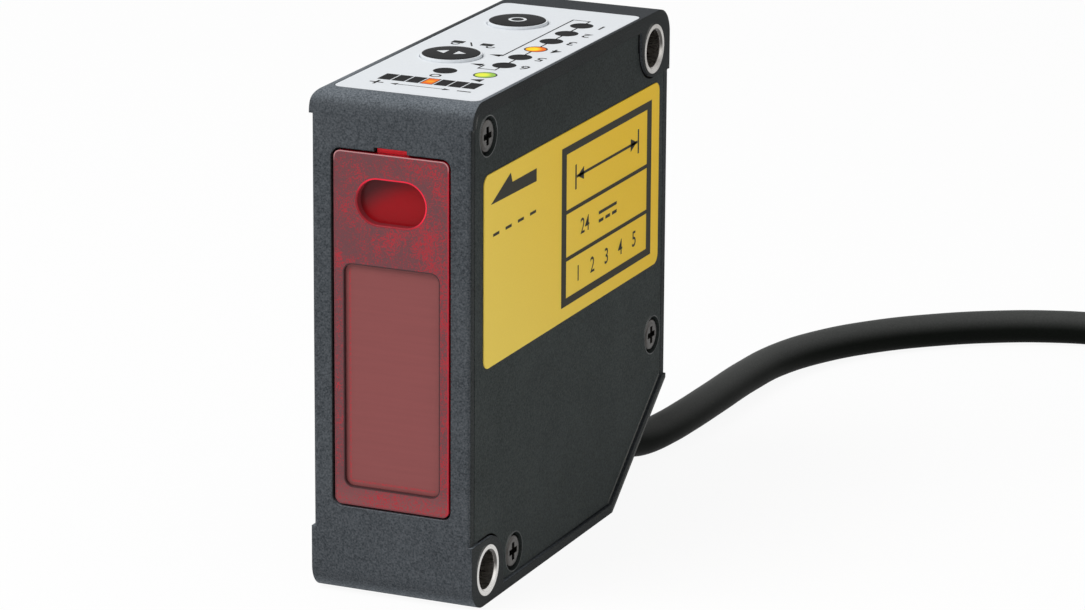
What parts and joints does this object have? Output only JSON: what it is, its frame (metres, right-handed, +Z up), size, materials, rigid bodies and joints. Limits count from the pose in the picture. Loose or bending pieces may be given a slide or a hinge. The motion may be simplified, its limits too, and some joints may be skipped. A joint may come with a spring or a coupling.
{
  "type": "laser displacement sensor",
  "caption": "Slim block-shaped laser distance sensor with a red front window, key and lamp panel on top, side cover, mounting bushes and a short cable with a round plug",
  "frame": {"origin": "middle of the bottom face, between the two sides and between front and back", "axes": "+Z up, beam leaves toward -Y, side cover and sticker on +X, cable leaves the sloped corner toward +Y"},
  "size_m": [0.0965, 0.1363, 0.0602],
  "materials": {
    "housing_paint": "matte",
    "cover_paint": "matte",
    "seal_rubber": "matte",
    "screw_steel": "satin",
    "bush_nickel": "polished",
    "window_red": "frosted",
    "emitter_red": "gloss",
    "film_white": "satin",
    "lamp_dark": "gloss",
    "lamp_orange": "gloss",
    "lamp_green": "gloss",
    "sticker_yellow": "satin",
    "board_green": "satin",
    "chip_black": "matte",
    "bench_alloy": "satin",
    "brass_gold": "satin",
    "lens_glass": "polished",
    "cable_black": "matte",
    "plug_black": "matte",
    "coupling_nickel": "polished",
    "terminal_green": "matte",
    "wire_sheath": "satin"
  },
  "bodies": {
    "sensor": {"housing": "housing_paint", "side_cover": "cover_paint", "cover_gasket": "seal_rubber", "cover_screws": "screw_steel", "upper_bush": "bush_nickel", "lower_bush": "bush_nickel", "front_window": "window_red", "window_seal": "seal_rubber", "emitter_window": "emitter_red", "panel_film": "film_white", "run_lamp": "lamp_green", "output_lamp": "lamp_orange", "dark_lamps": "lamp_dark", "bar_guide": "lamp_dark", "bar_lit_guide": "lamp_orange", "side_sticker": "sticker_yellow", "indicator_board": "board_green", "key_switches": "chip_black", "lamp_chips": "chip_black", "indicator_screws": "screw_steel", "optical_bench": "bench_alloy", "laser_barrel": "brass_gold", "collimator_lens": "lens_glass", "laser_diode": "brass_gold", "barrel_cap": "chip_black", "receiver_lens": "lens_glass", "lens_retainer": "chip_black", "sensor_board": "board_green", "image_sensor": "chip_black", "sensor_screws": "screw_steel", "bench_screws": "screw_steel", "main_board": "board_green", "main_chips": "chip_black", "main_screws": "screw_steel", "supply_board": "board_green", "wire_terminal": "terminal_green", "cable_gland": "seal_rubber", "cable_clamp": "chip_black", "lead_wires": "wire_sheath", "cable": "cable_black", "plug_body": "plug_black", "plug_insert": "chip_black", "contact_pins": "brass_gold"},
    "select_key": {"select_key": "film_white"},
    "set_key": {"set_key": "film_white"},
    "coupling": {"coupling_screw": "coupling_nickel"}
  },
  "joints": [
    {"name": "select_key_press", "type": "slide", "parent": "sensor", "child": "select_key", "axis": [0, 0, -1], "range_m": [0, 0.0003], "stiffness_N_per_m": 100, "springref_m": -0.004},
    {"name": "set_key_press", "type": "slide", "parent": "sensor", "child": "set_key", "axis": [0, 0, -1], "range_m": [0, 0.0003], "stiffness_N_per_m": 100, "springref_m": -0.004},
    {"name": "coupling_turn", "type": "hinge", "parent": "sensor", "child": "coupling", "pos_m": [0.07626, 0.05761, 0.0073], "axis": [0.342, -0.9397, 0], "continuous": true}
  ]
}
